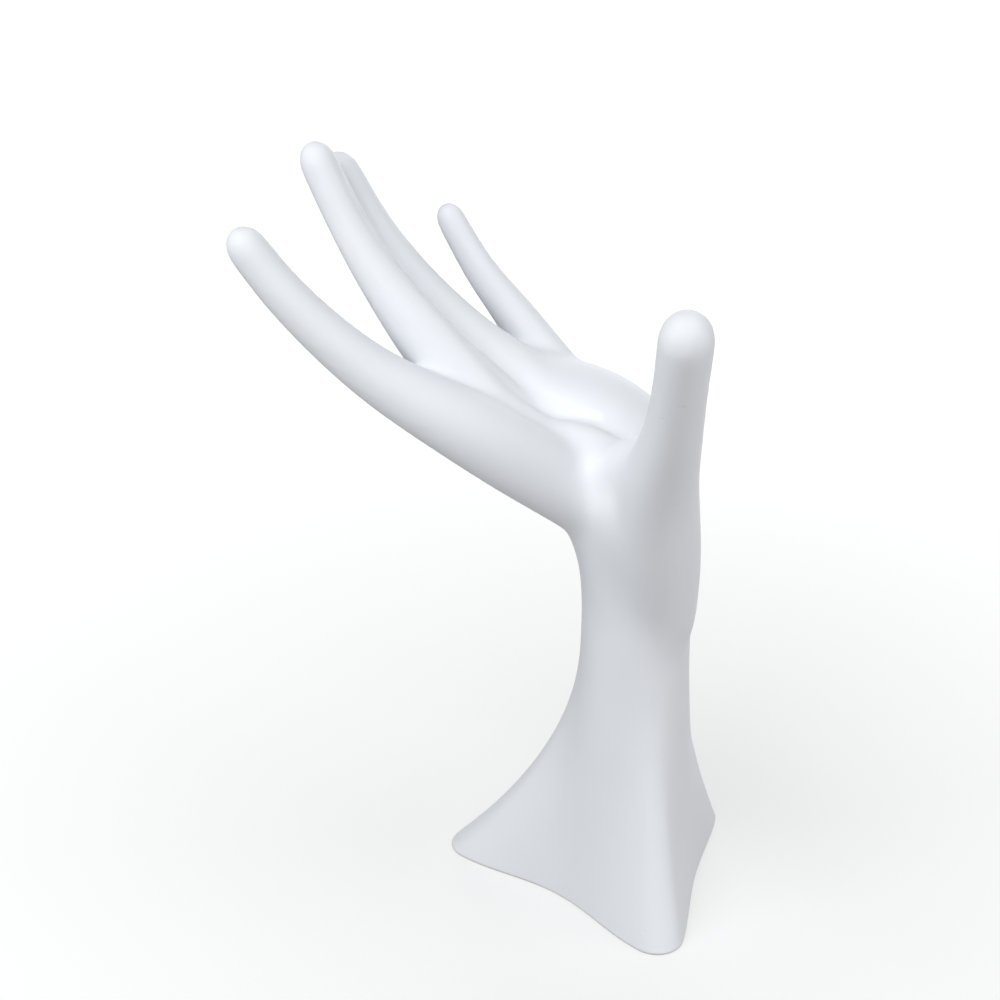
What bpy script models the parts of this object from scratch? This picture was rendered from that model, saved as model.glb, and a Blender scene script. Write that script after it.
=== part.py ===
"""Hand-shaped jewellery stand: one solid resin casting of a left hand on a flared, three-cornered foot.

Metres, +Z up. The origin is the middle of the foot on the table. The fingers reach towards -X,
the palm faces +X and up, the index finger is on the -Y side and the little finger on the +Y side.
Each finger, the thumb and the pads of the palm is a tapered tube through named joints. The tubes
and the flared forearm are joined into one skin, rounded where they meet, and cut flat below.
"""
import math

import bmesh
import bpy
import numpy as np
from mathutils import Vector

MM = 0.001

# Foot: three rounded corners, given by direction about the forearm and reach from the origin.
FOOT_CORNER_ANGLES = (180.0, -57.2, 55.0)
FOOT_CORNER_REACHES = (46.2 * MM, 40.4 * MM, 40.6 * MM)
FOOT_CORNER_RADIUS = 7.5 * MM
FOOT_SIDE_HOLLOWS = (4.2 * MM, 1.5 * MM, 3.4 * MM)
FOOT_EDGE_ROUND = 2.6 * MM
FOOT_EDGE_TUCK = 2.6
ROOT_DEPTH = 4.0 * MM

# The flare from wrist to foot, a little quicker on the fingers' side than on the palm's.
FLARE_HEIGHT = 76.4 * MM
FLARE_POWER = 1.91
FLARE_POWER_SWING = 0.19

# Forearm and wrist, as ellipses across X and Y.
WRIST_X = 4.8 * MM
WRIST_Y = 1.0 * MM
WRIST_DEPTH = 28.6 * MM
WRIST_WIDTH = 36.0 * MM
FOREARM_TOP = 97.4 * MM

# Skin over the joined tubes: smoothed lightly everywhere, and more over the palm and wrist.
SKIN_VOXEL = 0.8 * MM
SKIN_SMOOTH_ROUNDS = 12
PALM_SMOOTH_ROUNDS = 110
PALM_SOFT_BOTTOM = 40.0 * MM
PALM_SOFT_TOP = 141.4 * MM
PALM_SOFT_FADE = 25.0 * MM
SKIN_TRIANGLES = 11400
CUT_SNAP = 0.05 * MM

# How finely the tubes are built.
STATION_STEP = 1.5 * MM
SECTION_POINTS = 40
TIP_DOME = 1.15
TIP_STATIONS = 8
LEAST_REACH = 0.045
FOREARM_POINTS = 120
FOREARM_RINGS = 60
EDGE_RINGS = 12
CORNER_POINTS = 24
SIDE_POINTS = 26

RESIN = (0.86, 0.87, 0.885, 1.0)
RESIN_ROUGHNESS = 0.55


class Ray:
    """One finger: where it starts in the wrist, its knuckle, the bones beyond, and its sizes at each joint.

    Places and lengths are in millimetres. A bone's rise is its angle above level, and its turn is
    its angle from -X towards +Y. Widths are across the finger, and depths from its back to its front.
    """

    def __init__(self, wrist, knuckle, bones, rises, turns, widths, depths):
        self.wrist = wrist
        self.knuckle = knuckle
        self.bones = bones
        self.rises = rises
        self.turns = turns
        self.widths = widths
        self.depths = depths

    def joints(self):
        """The wrist end, the knuckle, and each joint beyond it, along the bones."""
        points = [Vector(self.wrist) * MM, Vector(self.knuckle) * MM]
        for bone, rise, turn in zip(self.bones, self.rises, self.turns):
            rise, turn = math.radians(rise), math.radians(turn)
            level = Vector((-math.cos(turn), math.sin(turn), 0.0))
            along = level * math.cos(rise) + Vector((0.0, 0.0, math.sin(rise)))
            points.append(points[-1] + along * bone * MM)
        return points


INDEX = Ray(wrist=(-1, -7, 113), knuckle=(-34, -18.5, 137), bones=(30, 28, 12),
            rises=(32.5, 45, 55), turns=(-12, -11, -10),
            widths=(19, 18.6, 13.2, 10.8, 9.8), depths=(19, 18.2, 13, 10.4, 9.6))
MIDDLE = Ray(wrist=(-3, -2, 108.4), knuckle=(-33, -4.5, 137.2), bones=(22.3, 23.5, 28),
             rises=(49.7, 52.2, 62), turns=(-11.2, 1, 6),
             widths=(16, 17, 14.6, 12, 9.8), depths=(14, 19.4, 15.8, 10.8, 9.2))
RING = Ray(wrist=(1, 6, 108.4), knuckle=(-27.5, 10.5, 137.7), bones=(21, 30.4, 20.7),
           rises=(41.5, 48, 61), turns=(-10, -5.5, 1),
           widths=(18, 16.5, 14, 11.8, 9.6), depths=(21, 17.4, 13.4, 11.6, 9.4))
LITTLE = Ray(wrist=(0, 13, 111.4), knuckle=(-23, 24, 135.4), bones=(16.6, 17.7, 15.8),
             rises=(55, 53, 60), turns=(8, -4, 0),
             widths=(20, 14.6, 11.6, 8.8, 7.4), depths=(22, 16.2, 11.4, 8.8, 7.6))
THUMB = Ray(wrist=(10.2, -0.5, 72), knuckle=(11, -11.8, 109.6), bones=(19.1, 25.7, 30.6),
            rises=(65, 57.7, 63), turns=(-98.6, -109.3, -105),
            widths=(20, 24, 21.3, 14.8, 13.4), depths=(20.6, 22.6, 19.6, 13.8, 12.8))

PALM = dict(points=((4.8, 1, 71.4), (4.6, 1, 87.4), (1, 1, 102.4), (-9, 3, 116.4), (-23, 5, 127.4), (-35, 6, 136.4)),
            widths=(34, 36, 38, 40, 44, 42), depths=(28, 28.4, 25, 18, 16, 13))
HEEL = dict(points=((6, 8, 89.4), (5, 12, 108.4), (1, 15, 120), (-9.5, 17, 128.4), (-22, 16.5, 134.9), (-37, 12, 143.9)),
            widths=(26, 33, 35, 36, 33, 22), depths=(22, 26, 25.5, 24, 18, 12))
THENAR = dict(points=((5, 3, 72), (5.5, -2, 90), (5, -8, 106), (3.5, -11.5, 119.4), (1.5, -13, 129.4)),
              widths=(20, 22, 24, 22, 16), depths=(20, 22, 24, 22, 16))
WEB = dict(points=((13, -23, 138.4), (7, -17, 132.9), (0, -11, 126.9), (-10, -6, 126.4), (-23, -9, 131.4)),
           widths=(12, 13, 15, 16, 16), depths=(10, 12, 14, 14, 13))


def clear_scene():
    for item in list(bpy.data.objects):
        bpy.data.objects.remove(item, do_unlink=True)


def smooth_through(knots, values, places):
    """Cubic Hermite curve through the values, with slopes from each value's neighbours."""
    steps = np.diff(knots)
    grades = np.diff(values) / steps
    slopes = np.empty(len(values))
    slopes[1:-1] = (grades[:-1] * steps[1:] + grades[1:] * steps[:-1]) / (steps[:-1] + steps[1:])
    slopes[0] = 1.5 * grades[0] - 0.5 * slopes[1]
    slopes[-1] = 1.5 * grades[-1] - 0.5 * slopes[-2]
    spans = np.clip(np.searchsorted(knots, places) - 1, 0, len(steps) - 1)
    width = steps[spans]
    part = (places - knots[spans]) / width
    ease = 3 * part**2 - 2 * part**3
    start_pull = (part**3 - 2 * part**2 + part) * width * slopes[spans]
    end_pull = (part**3 - part**2) * width * slopes[spans + 1]
    return values[spans] * (1 - ease) + values[spans + 1] * ease + start_pull + end_pull


def spline(points, *sizes):
    """Positions and sizes read every STATION_STEP along a smooth curve through the points."""
    points = np.array([list(p) for p in points])
    lengths = np.linalg.norm(np.diff(points, axis=0), axis=1)
    knots = np.concatenate([[0.0], np.cumsum(lengths)])
    stations = max(2, round(knots[-1] / STATION_STEP)) + 1
    places = np.linspace(0.0, knots[-1], stations)
    columns = [smooth_through(knots, points[:, axis], places) for axis in range(3)]
    read = [smooth_through(knots, np.array(values, float) * MM, places) for values in sizes]
    return np.stack(columns, axis=1), *read


def loft(name, rings):
    """A closed solid through rings of equally many points, capped flat at both ends."""
    count = len(rings[0])
    points = [tuple(p) for ring in rings for p in ring]
    faces = []
    for start in range(0, len(points) - count, count):
        for i in range(count):
            j = (i + 1) % count
            faces.append((start + i, start + j, start + count + j, start + count + i))
    faces.append(tuple(reversed(range(count))))
    faces.append(tuple(range(len(points) - count, len(points))))
    mesh = bpy.data.meshes.new(name)
    mesh.from_pydata(points, [], faces)
    mesh.validate()
    item = bpy.data.objects.new(name, mesh)
    bpy.context.scene.collection.objects.link(item)
    return item


def dome_reach(from_end, dome):
    """How much of the full section is left at a distance from a domed end."""
    if from_end > dome:
        return 1.0
    gone = (dome - from_end) / dome
    return max(LEAST_REACH, math.sqrt(max(0.0, 1 - gone**2)))


def tube(name, centres, widths, depths):
    """A tube of ellipses along a centre line, closed by a dome at each end."""
    tangents = np.gradient(centres, axis=0)
    tangents /= np.linalg.norm(tangents, axis=1)[:, None]
    turns = np.linspace(0, 2 * math.pi, SECTION_POINTS, endpoint=False)
    cosines, sines = np.cos(turns)[:, None], np.sin(turns)[:, None]
    steps = np.linalg.norm(np.diff(centres, axis=0), axis=1)
    passed = np.concatenate([[0.0], np.cumsum(steps)])
    near_dome = TIP_DOME * min(widths[0], depths[0]) / 2
    far_dome = TIP_DOME * widths[-1] / 2
    rings = []
    side = np.array([0.0, 1.0, 0.0])
    for centre, along, width, depth, gone in zip(centres, tangents, widths, depths, passed):
        side = side - along * np.dot(side, along)
        side /= np.linalg.norm(side)
        up = np.cross(along, side)
        reach = dome_reach(gone, near_dome) * dome_reach(passed[-1] - gone, far_dome)
        rings.append(centre + (side * width * cosines + up * depth * sines) * reach / 2)
    return loft(name, rings)


def make_pad(name, points, widths, depths):
    """A fleshy part of the hand: a short tube of ellipses through points in millimetres."""
    return tube(name, *spline([Vector(p) * MM for p in points], widths, depths))


def make_ray(name, ray):
    """A finger or thumb as one tube, with extra stations in the dome of its tip."""
    joints = ray.joints()
    end = joints[-1] - joints[-2]
    joints[-1] = joints[-1] + end.normalized() * ray.widths[-1] * MM / 2
    centres, widths, depths = spline(joints, ray.widths, ray.depths)
    parts = np.linspace(0, 1, TIP_STATIONS + 1)[1:] ** 0.5
    last, before = centres[-1], centres[-2]
    fine = before + (last - before) * parts[:, None]
    centres = np.concatenate([centres[:-1], fine])
    widths = np.concatenate([widths[:-1], np.interp(parts, [0, 1], widths[-2:])])
    depths = np.concatenate([depths[:-1], np.interp(parts, [0, 1], depths[-2:])])
    return tube(name, centres, widths, depths)


def foot_corner(here, prior, after):
    """The points of one rounded corner of the foot, in order."""
    start = math.atan2(*(here - prior)[::-1]) - math.pi / 2
    stop = math.atan2(*(after - here)[::-1]) - math.pi / 2
    if stop < start:
        stop += 2 * math.pi
    turns = np.linspace(start, stop, CORNER_POINTS)
    return [here + FOOT_CORNER_RADIUS * np.array([math.cos(t), math.sin(t)]) for t in turns]


def foot_side(here, after, hollow):
    """The points of one slightly hollow side of the foot, without its ends."""
    along = (after - here) / np.linalg.norm(after - here)
    outward = np.array([along[1], -along[0]])
    begin = here + FOOT_CORNER_RADIUS * outward
    finish = after + FOOT_CORNER_RADIUS * outward
    parts = np.linspace(0, 1, SIDE_POINTS)[1:-1]
    return [begin + (finish - begin) * p - outward * hollow * math.sin(math.pi * p) ** 2 for p in parts]


def foot_outline(turns):
    """Reach of the foot's rounded triangle in each direction about the origin."""
    angles = np.radians(FOOT_CORNER_ANGLES)
    reaches = np.array(FOOT_CORNER_REACHES) - FOOT_CORNER_RADIUS
    corners = np.stack([np.cos(angles) * reaches, np.sin(angles) * reaches], axis=1)
    rim = []
    for k in range(3):
        after = corners[(k + 1) % 3]
        rim += foot_corner(corners[k], corners[k - 1], after)
        rim += foot_side(corners[k], after, FOOT_SIDE_HOLLOWS[k])
    rim = np.array(rim)
    ways = np.arctan2(rim[:, 1], rim[:, 0])
    order = np.argsort(ways)
    return np.interp(turns, ways[order], np.hypot(rim[:, 0], rim[:, 1])[order], period=2 * math.pi)


def make_forearm():
    """The forearm and foot: ellipses at the wrist that flare to the foot's rounded triangle."""
    turns = np.linspace(-math.pi, math.pi, FOREARM_POINTS, endpoint=False)
    ways = np.stack([np.cos(turns), np.sin(turns)], axis=1)
    wrist = ways * np.array([WRIST_DEPTH, WRIST_WIDTH]) / 2 + np.array([WRIST_X, WRIST_Y])
    foot = ways * foot_outline(turns)[:, None]
    powers = (FLARE_POWER - FLARE_POWER_SWING * np.cos(turns))[:, None]
    edge_heights = np.linspace(-ROOT_DEPTH, FOOT_EDGE_ROUND, EDGE_RINGS)
    heights = np.linspace(FOOT_EDGE_ROUND, FOREARM_TOP, FOREARM_RINGS)[1:]
    rings = []
    for height in np.concatenate([edge_heights, heights]):
        left = max(0.0, 1 - max(height, 0.0) / FLARE_HEIGHT)
        section = wrist + (foot - wrist) * left**powers
        below = max(0.0, FOOT_EDGE_ROUND - height) / (FOOT_EDGE_ROUND * FOOT_EDGE_TUCK)
        tuck = FOOT_EDGE_ROUND * (1 - math.sqrt(1 - min(1.0, below) ** 2))
        section = section - tuck * section / np.linalg.norm(section, axis=1)[:, None]
        rings.append([(x, y, height) for x, y in section])
    return loft("forearm", rings)


def join(items, name):
    with bpy.context.temp_override(active_object=items[0], selected_editable_objects=items):
        bpy.ops.object.join()
    items[0].name = name
    return items[0]


def apply_all(item):
    """Replaces the object's mesh with the one its modifiers make."""
    graph = bpy.context.evaluated_depsgraph_get()
    mesh = bpy.data.meshes.new_from_object(item.evaluated_get(graph))
    item.modifiers.clear()
    item.data = mesh


def skin_over(item):
    """Turns the overlapping tubes into one closed skin."""
    remesh = item.modifiers.new("one_skin", "REMESH")
    remesh.mode = "VOXEL"
    remesh.voxel_size = SKIN_VOXEL
    apply_all(item)


def mark_palm(item):
    """Weights the palm and wrist, fading out towards the fingers and the foot."""
    palm = item.vertex_groups.new(name="palm_and_wrist")
    for vertex in item.data.vertices:
        from_top = (PALM_SOFT_TOP - vertex.co.z) / PALM_SOFT_FADE
        from_bottom = (vertex.co.z - PALM_SOFT_BOTTOM) / PALM_SOFT_FADE
        weight = min(1.0, max(0.0, from_top)) * min(1.0, max(0.0, from_bottom))
        if weight > 0:
            palm.add([vertex.index], weight, "REPLACE")
    return palm.name


def soften(item):
    """Rounds the joins: lightly everywhere, and more over the palm and wrist."""
    palm = mark_palm(item)
    for rounds, group in ((SKIN_SMOOTH_ROUNDS, ""), (PALM_SMOOTH_ROUNDS, palm)):
        smooth = item.modifiers.new("soft_joins", "SMOOTH")
        smooth.factor = 0.5
        smooth.iterations = rounds
        smooth.vertex_group = group
    apply_all(item)
    item.vertex_groups.clear()


def thin_out(item):
    """Keeps the skin's shape with fewer, larger triangles where it is nearly flat."""
    fewer = item.modifiers.new("fewer_faces", "DECIMATE")
    fewer.ratio = SKIN_TRIANGLES / (2 * len(item.data.polygons))
    apply_all(item)


def cut_flat(item):
    """Cuts the casting off at the table, so that it stands on one flat face."""
    edit = bmesh.new()
    edit.from_mesh(item.data)
    everything = edit.verts[:] + edit.edges[:] + edit.faces[:]
    cut = bmesh.ops.bisect_plane(edit, geom=everything, dist=CUT_SNAP, plane_co=(0, 0, 0),
                                 plane_no=(0, 0, 1), clear_inner=True)["geom_cut"]
    for part in cut:
        if isinstance(part, bmesh.types.BMVert):
            part.co.z = 0.0
    rim = [edge for edge in edit.edges if edge.is_boundary]
    bmesh.ops.contextual_create(edit, geom=rim)
    bmesh.ops.triangulate(edit, faces=edit.faces[:])
    edit.to_mesh(item.data)
    edit.free()


def resin():
    """Matte white filled resin, faintly cool."""
    material = bpy.data.materials.new("white_resin")
    material.use_nodes = True
    shader = material.node_tree.nodes["Principled BSDF"]
    shader.inputs["Base Color"].default_value = RESIN
    shader.inputs["Roughness"].default_value = RESIN_ROUGHNESS
    shader.inputs["Metallic"].default_value = 0.0
    return material


def main():
    clear_scene()
    rays = {"index": INDEX, "middle": MIDDLE, "ring": RING, "little": LITTLE, "thumb": THUMB}
    pads = {"palm": PALM, "heel": HEEL, "thenar": THENAR, "web": WEB}
    pieces = [make_ray(name, ray) for name, ray in rays.items()]
    pieces += [make_pad(name, **pad) for name, pad in pads.items()]
    pieces.append(make_forearm())
    hand = join(pieces, "hand_form")
    skin_over(hand)
    soften(hand)
    thin_out(hand)
    cut_flat(hand)
    hand.data.name = "hand_form"
    hand.data.materials.append(resin())
    hand.data.shade_smooth()
    stand = bpy.data.collections.new("hand_jewellery_stand")
    bpy.context.scene.collection.children.link(stand)
    stand.objects.link(hand)
    bpy.context.scene.collection.objects.unlink(hand)


main()
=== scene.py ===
# %% [markdown]
# A hand-shaped jewellery stand
#
# The real thing is one solid casting of white resin: a left hand, palm up, on a forearm that
# flares into a three-cornered foot. It stands in a shop window or on a dressing table and shows
# jewellery. This file dresses the finished solid: it gives the cast its fine, soft skin and its
# matt white finish, and then sets it on a plain white table in soft light.
#
# All the shaping is done on one copy of the solid, because the real stand is one piece too.
# Lengths are in metres where nothing else is said.

# %% Open the frame
import math

import bmesh
import bpy
import numpy as np
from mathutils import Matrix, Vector


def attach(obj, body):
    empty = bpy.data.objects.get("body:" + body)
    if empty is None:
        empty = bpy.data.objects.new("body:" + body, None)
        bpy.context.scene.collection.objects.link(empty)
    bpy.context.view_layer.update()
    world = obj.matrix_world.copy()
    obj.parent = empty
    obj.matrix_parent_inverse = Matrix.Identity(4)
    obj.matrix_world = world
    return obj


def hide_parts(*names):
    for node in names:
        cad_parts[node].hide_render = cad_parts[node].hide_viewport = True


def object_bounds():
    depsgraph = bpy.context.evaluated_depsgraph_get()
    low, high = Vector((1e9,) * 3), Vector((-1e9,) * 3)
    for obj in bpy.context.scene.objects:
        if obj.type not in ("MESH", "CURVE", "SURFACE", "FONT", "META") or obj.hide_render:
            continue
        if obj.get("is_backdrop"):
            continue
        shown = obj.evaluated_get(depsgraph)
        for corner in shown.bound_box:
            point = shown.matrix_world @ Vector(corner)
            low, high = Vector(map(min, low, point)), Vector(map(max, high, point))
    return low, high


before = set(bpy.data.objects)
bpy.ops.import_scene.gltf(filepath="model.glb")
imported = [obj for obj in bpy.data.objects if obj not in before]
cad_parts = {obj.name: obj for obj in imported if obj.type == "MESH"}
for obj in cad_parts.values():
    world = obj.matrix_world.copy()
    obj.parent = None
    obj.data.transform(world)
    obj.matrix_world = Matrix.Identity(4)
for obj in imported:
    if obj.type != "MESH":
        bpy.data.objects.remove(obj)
solid_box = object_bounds()
print("the solid stands", round((solid_box[1][2] - solid_box[0][2]) * 1000, 1), "mm tall")

# %% [markdown]
# The camera comes first, because every later choice is judged through it.
#
# The picture looks down on the palm from the thumb's side. A lens of about 62 mm on a full-frame
# sensor, a little under half a metre away, gives the same gentle perspective: the foot looks
# slightly smaller than the fingertips, which are nearer to the lens. A constraint could aim the
# camera. Two plain angles are used instead, because each can be measured and corrected by itself.

# %% Place the camera
CAMERA_PLACE = (0.0652, -0.3881, 0.3050)
CAMERA_AZIMUTH = 14.0
CAMERA_DROP = 26.0
CAMERA_LENS = 62.37
NEAREST_SEEN = 0.01

bpy.ops.object.select_all(action="DESELECT")
bpy.ops.object.camera_add(
    location=CAMERA_PLACE,
    rotation=(math.radians(90 - CAMERA_DROP), 0, math.radians(CAMERA_AZIMUTH)),
)
camera = bpy.context.object
camera.name = "picture_camera"
camera.data.lens = CAMERA_LENS
camera.data.clip_start = NEAREST_SEEN
bpy.context.scene.camera = camera
print("camera", [round(value, 3) for value in camera.location], "lens", camera.data.lens)

# %% [markdown]
# The skin of the cast
#
# The solid is a faceted hand of about eleven thousand triangles. A real casting has no facets: the
# mould was taken from a smooth, hand-rubbed master. One could only subdivide the facets, but they
# are uneven, and that leaves small dents. So a copy is subdivided once, rebuilt with even, tiny
# faces by a voxel remesh, and then relaxed with a Smooth modifier, as rubbing with fine paper does.

# %% Copy the solid and merge its loose corners
MERGE_DISTANCE = 0.00001

cast = bpy.data.objects.new("cast_hand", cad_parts["hand_form"].data.copy())
bpy.context.scene.collection.objects.link(cast)
bpy.ops.object.select_all(action="DESELECT")
bpy.context.view_layer.objects.active = cast
cast.select_set(True)
bpy.ops.object.mode_set(mode="EDIT")
bpy.ops.mesh.select_all(action="SELECT")
bpy.ops.mesh.remove_doubles(threshold=MERGE_DISTANCE)
bpy.ops.object.mode_set(mode="OBJECT")
print("the copy has", len(cast.data.vertices), "corners and", len(cast.data.polygons), "facets")

# %% Rebuild it with an even, relaxed skin
SKIN_FACE = 0.0008
RUBBING_ROUNDS = 10
RUBBING_PRESSURE = 0.5

rounder = cast.modifiers.new("round_the_facets", "SUBSURF")
rounder.levels = rounder.render_levels = 1
even = cast.modifiers.new("even_skin", "REMESH")
even.mode = "VOXEL"
even.voxel_size = SKIN_FACE
even.use_smooth_shade = True
rubbed = cast.modifiers.new("rubbed_down", "SMOOTH")
rubbed.factor = RUBBING_PRESSURE
rubbed.iterations = RUBBING_ROUNDS
for step in ("round_the_facets", "even_skin", "rubbed_down"):
    bpy.ops.object.modifier_apply(modifier=step)
bpy.ops.object.shade_smooth()
print("the skin has", len(cast.data.polygons), "faces of about", SKIN_FACE * 1000, "mm")

# %% [markdown]
# The edge of the foot
#
# The facets leave the long lower edge slightly wavy, and the eye finds that at once. A mould maker
# would true such an edge against a template, and so do the next steps. Bending the edge straight
# by hand would take many small moves. A template is one short formula: three rounded corners,
# joined by sides that are drawn in a little.

# %% Draw the outline of the foot
CORNER_ANGLES = (180.0, -57.2, 55.0)
CORNER_REACHES = (0.0462, 0.0404, 0.0406)
CORNER_RADIUS = 0.0075
SIDE_HOLLOWS = (0.0042, 0.0015, 0.0034)
CORNER_STEPS = 32
SIDE_STEPS = 40


def corner_points(here, before, after):
    """An arc round one corner of the foot, from the side before it to the side after it."""
    start = math.atan2(*(here - before)[::-1]) - math.pi / 2
    stop = math.atan2(*(after - here)[::-1]) - math.pi / 2
    turns = np.linspace(start, stop + (2 * math.pi if stop < start else 0), CORNER_STEPS)
    return [here + CORNER_RADIUS * np.array([math.cos(t), math.sin(t)]) for t in turns]


def side_points(here, after, hollow):
    """A side of the foot, drawn in by the hollow halfway between its corners."""
    along = (after - here) / np.linalg.norm(after - here)
    outward = np.array([along[1], -along[0]])
    parts = np.linspace(0, 1, SIDE_STEPS)[1:-1]
    reaches = [CORNER_RADIUS - hollow * math.sin(math.pi * part) ** 2 for part in parts]
    return [here + (after - here) * part + outward * reach for part, reach in zip(parts, reaches)]


def foot_reach(turns):
    """How far the foot reaches from its middle in each direction."""
    angles = np.radians(CORNER_ANGLES)
    arms = np.array(CORNER_REACHES) - CORNER_RADIUS
    middles = np.stack([np.cos(angles) * arms, np.sin(angles) * arms], axis=1)
    rim = []
    for k in range(3):
        rim += corner_points(middles[k], middles[k - 1], middles[(k + 1) % 3])
        rim += side_points(middles[k], middles[(k + 1) % 3], SIDE_HOLLOWS[k])
    rim = np.array(rim)
    ways = np.arctan2(rim[:, 1], rim[:, 0])
    order = np.argsort(ways)
    return np.interp(turns, ways[order], np.hypot(rim[:, 0], rim[:, 1])[order], period=2 * math.pi)


front, right, back = (round(float(reach) * 1000, 1) for reach in foot_reach(np.radians([-90, 0, 90])))
print("the foot reaches", front, "mm to the front,", right, "mm to the right and", back, "mm back")

# %% [markdown]
# The template
#
# The forearm of the real stand is close to an ellipse and spreads into the foot in one sweep. The
# template is a loft: at each height its outline lies between the ellipse and the foot, by a power
# of the height. The lowest part draws in along a quarter of a circle, for the small round at the
# table. A few curves could be bridged instead, but many close rings leave no ripple for the skin
# to follow.

# %% Shape one ring of the template
FLARE_HEIGHT = 0.0764
FLARE_POWER = 1.91
FLARE_LEAN = 0.19
WRIST_MIDDLE = (0.0048, 0.001)
WRIST_SIZE = (0.0286, 0.036)
EDGE_ROUND = 0.0009


def foot_section(height, turns):
    """The outline of the foot at one height, as X and Y, with its lower edge rounded off."""
    ways = np.stack([np.cos(turns), np.sin(turns)], axis=1)
    wrist = ways * np.array(WRIST_SIZE) / 2 + np.array(WRIST_MIDDLE)
    foot = ways * foot_reach(turns)[:, None]
    powers = (FLARE_POWER - FLARE_LEAN * np.cos(turns))[:, None]
    ring = wrist + (foot - wrist) * (1 - height / FLARE_HEIGHT) ** powers
    tuck = EDGE_ROUND - math.sqrt(EDGE_ROUND ** 2 - max(0.0, EDGE_ROUND - height) ** 2)
    return ring * (1 - tuck / np.linalg.norm(ring, axis=1)[:, None])


lowest_right = foot_section(0, np.array([0.0]))[0][0]
print("at the table the edge draws in to", round(float(lowest_right) * 1000, 1), "mm on the right")

# %% Loft the template
TEMPLATE_TOP = 0.06
TEMPLATE_RINGS = 121
RING_STEPS = 360

ring_turns = np.linspace(-math.pi, math.pi, RING_STEPS, endpoint=False)
points = [(x, y, height) for height in np.linspace(0, TEMPLATE_TOP, TEMPLATE_RINGS)
          for x, y in foot_section(height, ring_turns)]
faces = [(start + i, start + (i + 1) % RING_STEPS,
          start + RING_STEPS + (i + 1) % RING_STEPS, start + RING_STEPS + i)
         for start in range(0, len(points) - RING_STEPS, RING_STEPS) for i in range(RING_STEPS)]
template = bpy.data.objects.new("foot_template", bpy.data.meshes.new("foot_template"))
template.data.from_pydata(points, [], faces)
bpy.context.scene.collection.objects.link(template)
print("the template has", len(faces), "faces")

# %% [markdown]
# The trued foot
#
# A Shrinkwrap modifier draws the lower part of the skin onto the template. A vertex group weighs it
# and fades out where the forearm begins, or the skin would have a step there. The lowest two
# millimetres are cut away first and are turned again afterwards, ring by ring, because the remesh
# can't hold an edge as crisp as the one on the real foot.

# %% Cut the lowest part of the skin away
RIM_HEIGHT = 0.0022

edit = bmesh.new()
edit.from_mesh(cast.data)
bmesh.ops.bisect_plane(edit, geom=edit.verts[:] + edit.edges[:] + edit.faces[:],
                       plane_co=(0, 0, RIM_HEIGHT), plane_no=(0, 0, 1), clear_inner=True)
edit.to_mesh(cast.data)
edit.free()
print("the skin now starts", RIM_HEIGHT * 1000, "mm above the table")

# %% True the foot against the template
TRUE_BELOW = 0.026
TRUE_FADE = 0.014

group = cast.vertex_groups.new(name="foot")
for vertex in cast.data.vertices:
    weight = (TRUE_BELOW + TRUE_FADE - vertex.co.z) / TRUE_FADE
    if weight > 0:
        group.add([vertex.index], min(1.0, weight), "REPLACE")
trued = cast.modifiers.new("trued_foot", "SHRINKWRAP")
trued.target = template
trued.vertex_group = "foot"
bpy.ops.object.modifier_apply(modifier="trued_foot")
cast.vertex_groups.clear()
bpy.data.objects.remove(template, do_unlink=True)
print("trued", len(cast.data.vertices), "corners of skin")

# %% Turn the lower edge and close the bottom
RINGS_ABOVE_ROUND = [0.0018, 0.0014]
RINGS_IN_ROUND = 7

edge_heights = RINGS_ABOVE_ROUND + [
    EDGE_ROUND * (1 - math.sin(turn)) for turn in np.linspace(0, math.pi / 2, RINGS_IN_ROUND)]
edit = bmesh.new()
edit.from_mesh(cast.data)
rim = [edge for edge in edit.edges if edge.is_boundary]
for corner in {corner for edge in rim for corner in edge.verts}:
    corner.co.z = RIM_HEIGHT
last = RIM_HEIGHT
for height in edge_heights:
    made = bmesh.ops.extrude_edge_only(edit, edges=rim)["geom"]
    corners = [item for item in made if isinstance(item, bmesh.types.BMVert)]
    rim = [item for item in made if isinstance(item, bmesh.types.BMEdge) and item.is_boundary]
    turns = np.array([math.atan2(corner.co.y, corner.co.x) for corner in corners])
    moves = foot_section(height, turns) - foot_section(last, turns)
    for corner, move in zip(corners, moves):
        corner.co = Vector((corner.co.x + move[0], corner.co.y + move[1], height))
    last = height
bmesh.ops.triangle_fill(edit, edges=rim, use_beauty=True)
bmesh.ops.recalc_face_normals(edit, faces=edit.faces[:])
for face in edit.faces:
    face.smooth = True
open_edges = sum(not edge.is_manifold for edge in edit.edges)
edit.to_mesh(cast.data)
edit.free()
print("edge turned in", len(edge_heights), "rings, with", open_edges, "open edges")

# %% [markdown]
# The groove and the fold of the palm
#
# The solid has only a shallow valley where two soft lines run on the real hand: the groove between
# the middle and the ring finger, and the fold that carries it on across the palm. A sculptor would
# draw them with a loop tool and leave the lower bank of the fold a little raised. Sculpt mode needs
# a hand on the mouse. Here a few points give each line, and the skin near it is pushed along its
# own normals, most on the line itself and less with distance.

# %% Learn to push the skin
SPOTS_PER_POINT = 12


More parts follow.
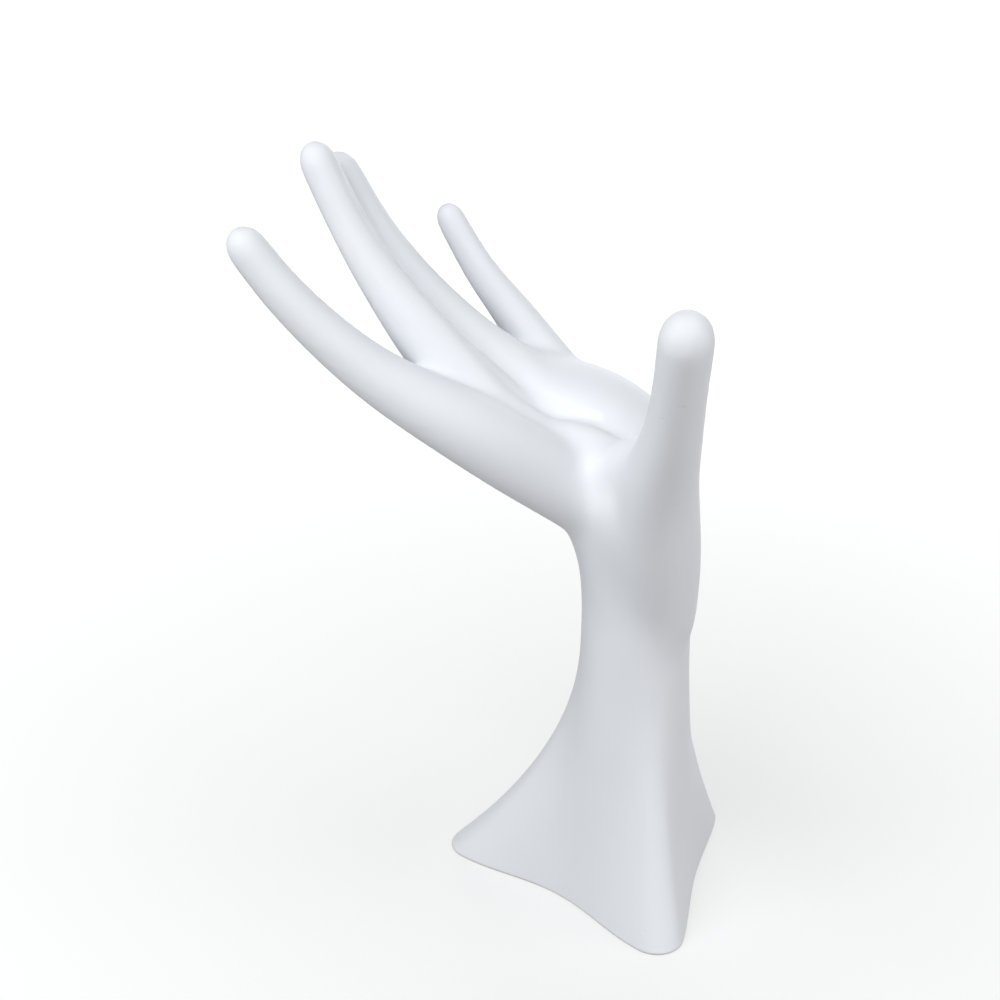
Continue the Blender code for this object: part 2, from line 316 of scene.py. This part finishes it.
def push_skin(piece, line, heights, widths):
    """Moves the skin out along a line, all in millimetres, fading over the widths."""
    skin = piece.data.vertices
    places, normals = np.empty(len(skin) * 3), np.empty(len(skin) * 3)
    skin.foreach_get("co", places)
    skin.foreach_get("normal", normals)
    places, normals = places.reshape(-1, 3), normals.reshape(-1, 3)
    spots = np.linspace(0, len(line) - 1, SPOTS_PER_POINT * len(line))
    dense = np.stack([np.interp(spots, range(len(line)), column) for column in zip(*line)], axis=1)
    gaps = np.array([np.linalg.norm(places * 1000 - point, axis=1) for point in dense])
    nearest = gaps.argmin(axis=0)
    heights = np.interp(spots, range(len(line)), heights)[nearest]
    widths = np.interp(spots, range(len(line)), widths)[nearest]
    moves = heights * np.exp(-(gaps.min(axis=0) / widths) ** 2)
    places += normals * moves[:, None] / 1000
    skin.foreach_set("co", places.ravel())
    piece.data.update()
    print("moved by", round(float(moves.min()), 2), "to", round(float(moves.max()), 2), "mm")


# %% Raise the bank below the fold
BANK = ((-17, -3.6, 136), (-13.5, -3.5, 134.9), (-7.5, -3.8, 133.3), (-1.5, -4.4, 131.8), (5, -5, 129))
BANK_HEIGHTS = (0.4, 1.2, 1.5, 0.9, 0)
BANK_WIDTHS = (4.2, 4.4, 4.8, 5.2, 5.2)

push_skin(cast, BANK, BANK_HEIGHTS, BANK_WIDTHS)

# %% Sink the groove and the fold, from the fingertips to the palm
FOLD = ((-69, -5, 196), (-67.5, -5.5, 193), (-64, -6, 186), (-59.5, -5, 178.5), (-54, -4.8, 171.5),
        (-47, -5.3, 165), (-40, -4.8, 157.5), (-32.5, -4.5, 150), (-27, -4.6, 144.5), (-24, -3.5, 141.5),
        (-21.5, -2, 139.5), (-18, -1, 137.5), (-13.5, 0, 136.2), (-7.3, 0.5, 135.2))
FOLD_HEIGHTS = (-0.1, -0.3, -0.5, -0.6, -0.7, -0.9, -1.3, -1.7, -1.8, -1.6, -1.4, -1.2, -1.1, -1.0)
FOLD_WIDTHS = (0.8, 0.9, 1.1, 1.3, 1.6, 2.2, 3.2, 4.0, 4.2, 3.8, 3.0, 2.2, 1.6, 1.2)

push_skin(cast, FOLD, FOLD_HEIGHTS, FOLD_WIDTHS)

# %% [markdown]
# The heel of the thumb
#
# Where the pad of the thumb runs out into the wrist, the solid has a small, tight step. A cast like
# this would be rubbed soft there. Smoothing the whole hand as hard would shrink the fingertips, so
# a vertex group keeps a strong Smooth modifier to a ball round the heel and fades it to nothing at
# the ball's edge.

# %% Ease the heel of the thumb
HEEL = Vector((0.019, -0.009, 0.083))
HEEL_REACH = 0.015
HEEL_STEEPNESS = 1.5
HEEL_ROUNDS = 70

group = cast.vertex_groups.new(name="heel")
for vertex in cast.data.vertices:
    weight = HEEL_STEEPNESS - HEEL_STEEPNESS * (vertex.co - HEEL).length / HEEL_REACH
    if weight > 0:
        group.add([vertex.index], min(1.0, weight), "REPLACE")
eased = cast.modifiers.new("eased_heel", "SMOOTH")
eased.iterations = HEEL_ROUNDS
eased.vertex_group = "heel"
bpy.ops.object.modifier_apply(modifier="eased_heel")
cast.vertex_groups.clear()
print("heel eased within", HEEL_REACH * 1000, "mm")

# %% [markdown]
# The white resin
#
# Cast resin of this kind is filled with chalk or marble dust and comes out of the mould a cool
# white, matt to satin. It is never one flat white, because the filler settles in faint clouds. A
# painted picture would need the hand to be unwrapped and would show seams. A noise on the
# object's own coordinates has no seams, and it stays put when the stand is turned.

# %% Learn to add nodes
def add_node(tree, kind, **values):
    """Adds a node and sets its own options."""
    node = tree.nodes.new(kind)
    for name, value in values.items():
        setattr(node, name, value)
    return node


def add_noise(tree, place, scale, detail):
    """A cloudy pattern. The scale is in clouds for each metre."""
    noise = add_node(tree, "ShaderNodeTexNoise")
    noise.inputs["Scale"].default_value = scale
    noise.inputs["Detail"].default_value = detail
    tree.links.new(place, noise.inputs["Vector"])
    return noise.outputs["Fac"]


def add_range(tree, value, old_low, old_high, low, high):
    """Maps old_low to low and old_high to high, and stops at both ends."""
    spread = add_node(tree, "ShaderNodeMapRange")
    for name, number in (("From Min", old_low), ("From Max", old_high), ("To Min", low), ("To Max", high)):
        spread.inputs[name].default_value = number
    tree.links.new(value, spread.inputs["Value"])
    return spread.outputs["Result"]


# %% Mix the resin
RESIN_PALE = (0.862, 0.882, 0.91, 1)
RESIN_DEEP = (0.838, 0.858, 0.9, 1)
CLOUDS_PER_METRE = 30
CLOUD_EDGES = (0.3, 0.7)
ROUGHNESS = (0.54, 0.62)
SHEEN = 0.45

resin = bpy.data.materials.new("cast_resin")
resin.use_nodes = True
tree = resin.node_tree
shader = tree.nodes["Principled BSDF"]
place = add_node(tree, "ShaderNodeTexCoord").outputs["Object"]

clouds = add_noise(tree, place, CLOUDS_PER_METRE, 2)
tint = add_node(tree, "ShaderNodeMix", data_type="RGBA")
tint.inputs["A"].default_value = RESIN_DEEP
tint.inputs["B"].default_value = RESIN_PALE
tree.links.new(add_range(tree, clouds, *CLOUD_EDGES, 0, 1), tint.inputs["Factor"])
tree.links.new(add_range(tree, clouds, *CLOUD_EDGES, *ROUGHNESS), shader.inputs["Roughness"])
shader.inputs["Specular IOR Level"].default_value = SHEEN
print("resin between", RESIN_DEEP[:3], "and", RESIN_PALE[:3])

# %% [markdown]
# Waves and tooth
#
# Two things break up the reflections on a rubbed cast: the surface waves a little from stroke to
# stroke, and it has a fine tooth from the filler. Both are far too shallow to be worth faces of
# their own, so they are bumps, one on top of the other, with their real heights.

# %% Learn to raise a pattern
def add_bump(tree, height, distance, below=None):
    """Raises the surface by a pattern, or sinks it, on top of another bump."""
    bump = add_node(tree, "ShaderNodeBump", invert=distance < 0)
    bump.inputs["Distance"].default_value = abs(distance)
    tree.links.new(height, bump.inputs["Height"])
    if below is not None:
        tree.links.new(below, bump.inputs["Normal"])
    return bump.outputs["Normal"]


# %% Give it waves and tooth
WAVES_PER_METRE = 130
WAVE_HEIGHT = 0.00004
TOOTH_PER_METRE = 2200
TOOTH_HEIGHT = 0.000005

waves = add_noise(tree, place, WAVES_PER_METRE, 1)
tooth = add_noise(tree, place, TOOTH_PER_METRE, 2)
skin = add_bump(tree, waves, WAVE_HEIGHT)
skin = add_bump(tree, tooth, TOOTH_HEIGHT, skin)
print("waves", WAVE_HEIGHT * 1000, "mm high and tooth", TOOTH_HEIGHT * 1000, "mm high")

# %% [markdown]
# The marks of the making
#
# A hand-finished cast keeps a few traces. Rubbing leaves faint bands across the base of the thumb,
# and air bubbles leave pits here and there. Each mark is found by its distance from a point of the
# surface, so it needs no picture and can be put close to where the real one is.

# %% Learn to mark a spot
def add_spot(tree, place, middle, radius):
    """One at a point of the surface, fading to nothing at the radius."""
    gap = add_node(tree, "ShaderNodeVectorMath", operation="DISTANCE")
    gap.inputs[1].default_value = middle
    tree.links.new(place, gap.inputs[0])
    return add_range(tree, gap.outputs["Value"], 0, radius, 1, 0)


def add_math(tree, operation, first, second):
    """Works out one number from two."""
    math_node = add_node(tree, "ShaderNodeMath", operation=operation)
    tree.links.new(first, math_node.inputs[0])
    tree.links.new(second, math_node.inputs[1])
    return math_node.outputs["Value"]


# %% Rub the thumb
RUB_MIDDLE = (0.0145, -0.031, 0.127)
RUB_REACH = 0.017
RUB_HEIGHT = 0.00002
RUB_SCALE = 150
RUB_WANDER = 2.5
RUB_WANDER_SCALE = 1.5
SCALED_BAND = 2 * math.pi / 20

bands = add_node(tree, "ShaderNodeTexWave", bands_direction="Z")
bands.inputs["Scale"].default_value = RUB_SCALE
bands.inputs["Distortion"].default_value = RUB_WANDER
bands.inputs["Detail"].default_value = 1
bands.inputs["Detail Scale"].default_value = RUB_WANDER_SCALE
tree.links.new(place, bands.inputs["Vector"])
rubs = add_math(tree, "MULTIPLY", bands.outputs["Fac"], add_spot(tree, place, RUB_MIDDLE, RUB_REACH))
skin = add_bump(tree, rubs, RUB_HEIGHT, skin)
print("rubbing bands about", round(1000 * SCALED_BAND / RUB_SCALE, 1), "mm apart")

# %% Leave a few pits
PITS = ((-0.0223, -0.0205, 0.1392), (0.0205, -0.0456, 0.1597), (0.0194, -0.0458, 0.1596),
        (0.0153, -0.043, 0.1552), (0.0153, -0.0324, 0.0052))
PIT_SIZE = 0.0006
PIT_DEPTH = 0.0001

pits = add_spot(tree, place, PITS[0], PIT_SIZE)
for middle in PITS[1:]:
    pits = add_math(tree, "MAXIMUM", pits, add_spot(tree, place, middle, PIT_SIZE))
skin = add_bump(tree, pits, -PIT_DEPTH, skin)
tree.links.new(skin, shader.inputs["Normal"])
print(len(PITS), "pits", PIT_DEPTH * 1000, "mm deep")

# %% [markdown]
# The cream lower edge
#
# The lowest edge of the foot is coloured a darker cream than the rest. A second material on the
# lowest faces could give it, but would end in a hard line. The height above the table blends one
# colour into the other instead.

# %% Tint the lower edge cream and put the resin on the cast
# A darker cream on the lowest edge, blending by height into the white above it.
EDGE_CREAM = (0.66, 0.62, 0.54, 1)
CREAM_BELOW = 0.0002
CREAM_UP_TO = 0.0008

split = add_node(tree, "ShaderNodeSeparateXYZ")
tree.links.new(place, split.inputs["Vector"])
cream = add_node(tree, "ShaderNodeMix", data_type="RGBA")
cream.inputs["B"].default_value = EDGE_CREAM
tree.links.new(add_range(tree, split.outputs["Z"], CREAM_BELOW, CREAM_UP_TO, 1, 0), cream.inputs["Factor"])
tree.links.new(tint.outputs["Result"], cream.inputs["A"])
tree.links.new(cream.outputs["Result"], shader.inputs["Base Color"])
cast.data.materials.clear()
cast.data.materials.append(resin)
print("the edge is bare below", CREAM_BELOW * 1000, "mm and white above", CREAM_UP_TO * 1000, "mm")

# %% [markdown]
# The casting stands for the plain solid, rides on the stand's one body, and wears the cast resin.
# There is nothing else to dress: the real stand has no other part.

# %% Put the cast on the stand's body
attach(cast, "root")
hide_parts("hand_form")

# %% [markdown]
# The table
#
# The stand is white and so is all around it, so it reads by its shading alone. One plane is the
# floor, large enough to fill the picture. Plain white paint on it would grey with distance, where
# the lamps no longer reach, so two surfaces are mixed on it. The camera sees white card, which
# glows softly near the stand, where it also takes the shadow, and fully further out. The light that
# the floor sends back up to the stand is that of a darker table, or the undersides of the fingers
# and the palm would lose their soft grey.

# %% Learn to tell the rays apart
def add_seen(tree):
    """One for rays that look straight, by reflection or through glass, and nothing for the rest."""
    path = add_node(tree, "ShaderNodeLightPath")
    total = path.outputs["Is Camera Ray"]
    for kind in ("Is Glossy Ray", "Is Transmission Ray"):
        total = add_math(tree, "MAXIMUM", total, path.outputs[kind])
    return total


def add_diffuse(tree, color):
    """A plain matt surface."""
    diffuse = add_node(tree, "ShaderNodeBsdfDiffuse")
    diffuse.inputs["Color"].default_value = color
    return diffuse.outputs["BSDF"]


# %% Mix the white card
CARD_SHADE = (0.36, 0.36, 0.36, 1)
GLOW_NEAR = 0.6
NEAR = 0.06
FAR = 0.6
TABLE_GREY = (0.25, 0.25, 0.25, 1)

card = bpy.data.materials.new("white_card")
card.use_nodes = True
tree = card.node_tree
tree.nodes.remove(tree.nodes["Principled BSDF"])
reach = add_node(tree, "ShaderNodeVectorMath", operation="LENGTH")
tree.links.new(add_node(tree, "ShaderNodeTexCoord").outputs["Object"], reach.inputs[0])
glow = add_node(tree, "ShaderNodeEmission")
tree.links.new(add_range(tree, reach.outputs["Value"], NEAR, FAR, GLOW_NEAR, 1), glow.inputs["Strength"])
both = add_node(tree, "ShaderNodeAddShader")
choose = add_node(tree, "ShaderNodeMixShader")
tree.links.new(add_diffuse(tree, CARD_SHADE), both.inputs[0])
tree.links.new(glow.outputs["Emission"], both.inputs[1])
tree.links.new(add_seen(tree), choose.inputs["Fac"])
tree.links.new(add_diffuse(tree, TABLE_GREY), choose.inputs[1])
tree.links.new(both.outputs["Shader"], choose.inputs[2])
tree.links.new(choose.outputs["Shader"], tree.nodes["Material Output"].inputs["Surface"])
print("card glows from", GLOW_NEAR, "near the stand to 1 at", FAR, "m")

# %% Lay the floor
FLOOR_SIZE = 12

bpy.ops.object.select_all(action="DESELECT")
bpy.ops.mesh.primitive_plane_add(size=FLOOR_SIZE, location=(0, 0, 0))
floor = bpy.context.object
floor.name = "table_top"
floor.data.materials.append(card)
floor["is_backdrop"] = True
print("floor", FLOOR_SIZE, "m square")

# %% [markdown]
# The light
#
# Small white goods are shot between soft boxes, and area lamps stand for those. The strongest is in
# front on the left and high, so the palm and the tops of the fingers are pale. Two stand low, one
# to the right and one behind, and give each finger and the thumb a pale edge. A broad lamp fills in
# from the front, weaker than the first, so that the underside of the palm and the forearm stay a
# soft grey. A faint one from above and behind lifts the far fingers. Each is placed by its two
# angles round the stand and faces it.

# %% Hang the lamps
AIM = Vector((-0.02, 0, 0.11))
LAMP_GAP = 0.8
LAMPS = {
    "high_left_box": dict(azimuth=-124, rise=47, size=0.8, watts=5.2, color=(0.965, 0.985, 1)),
    "low_right_box": dict(azimuth=0, rise=12, size=0.5, watts=2.7, color=(1, 1, 1)),
    "low_back_box": dict(azimuth=90, rise=12, size=0.5, watts=1.9, color=(0.97, 0.99, 1)),
    "front_fill": dict(azimuth=-90, rise=12, size=0.9, watts=2.9, color=(1, 0.988, 0.988)),
    "top_fill": dict(azimuth=60, rise=65, size=0.7, watts=0.75, color=(0.92, 0.97, 1)),
}

for name, lamp in LAMPS.items():
    azimuth, rise = math.radians(lamp["azimuth"]), math.radians(lamp["rise"])
    level = Vector((math.cos(azimuth), math.sin(azimuth), 0)) * math.cos(rise)
    out = level + Vector((0, 0, math.sin(rise)))
    bpy.ops.object.light_add(type="AREA", location=AIM + out * LAMP_GAP,
                             rotation=out.to_track_quat("Z", "Y").to_euler())
    light = bpy.context.object
    light.name = name
    light.data.size = lamp["size"]
    light.data.energy = lamp["watts"]
    light.data.color = lamp["color"]
    light.visible_camera = False
    print(name, lamp["watts"], "W")

# %% [markdown]
# The room
#
# A real studio has pale walls, which send a little light back from all sides. Four planes round
# the stand could be those walls, but a weak white world does the same with less. A lower camera
# that looks past the floor's far edge meets plain white there, and so do reflections.

# %% Set the world
WHITE = (1, 1, 1, 1)
ROOM_LEVEL = 0.08
BACKDROP_LEVEL = 1

world = bpy.data.worlds.new("white_room")
bpy.context.scene.world = world
world.use_nodes = True
tree = world.node_tree
room = tree.nodes["Background"]
backdrop = add_node(tree, "ShaderNodeBackground")
for surround, strength in ((room, ROOM_LEVEL), (backdrop, BACKDROP_LEVEL)):
    surround.inputs["Color"].default_value = WHITE
    surround.inputs["Strength"].default_value = strength
choose = add_node(tree, "ShaderNodeMixShader")
tree.links.new(add_seen(tree), choose.inputs["Fac"])
tree.links.new(room.outputs["Background"], choose.inputs[1])
tree.links.new(backdrop.outputs["Background"], choose.inputs[2])
tree.links.new(choose.outputs["Shader"], tree.nodes["World Output"].inputs["Surface"])
bpy.context.scene.view_settings.view_transform = "Standard"
print("room level", ROOM_LEVEL)

# %% [markdown]
# Last, both boxes are printed: the plain solid's and the dressed model's.

# %% Write the sizes and finish
dressed_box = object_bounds()
for name, box in (("solid", solid_box), ("dressed", dressed_box)):
    print(name, [[round(value * 1000, 1) for value in corner] for corner in box])
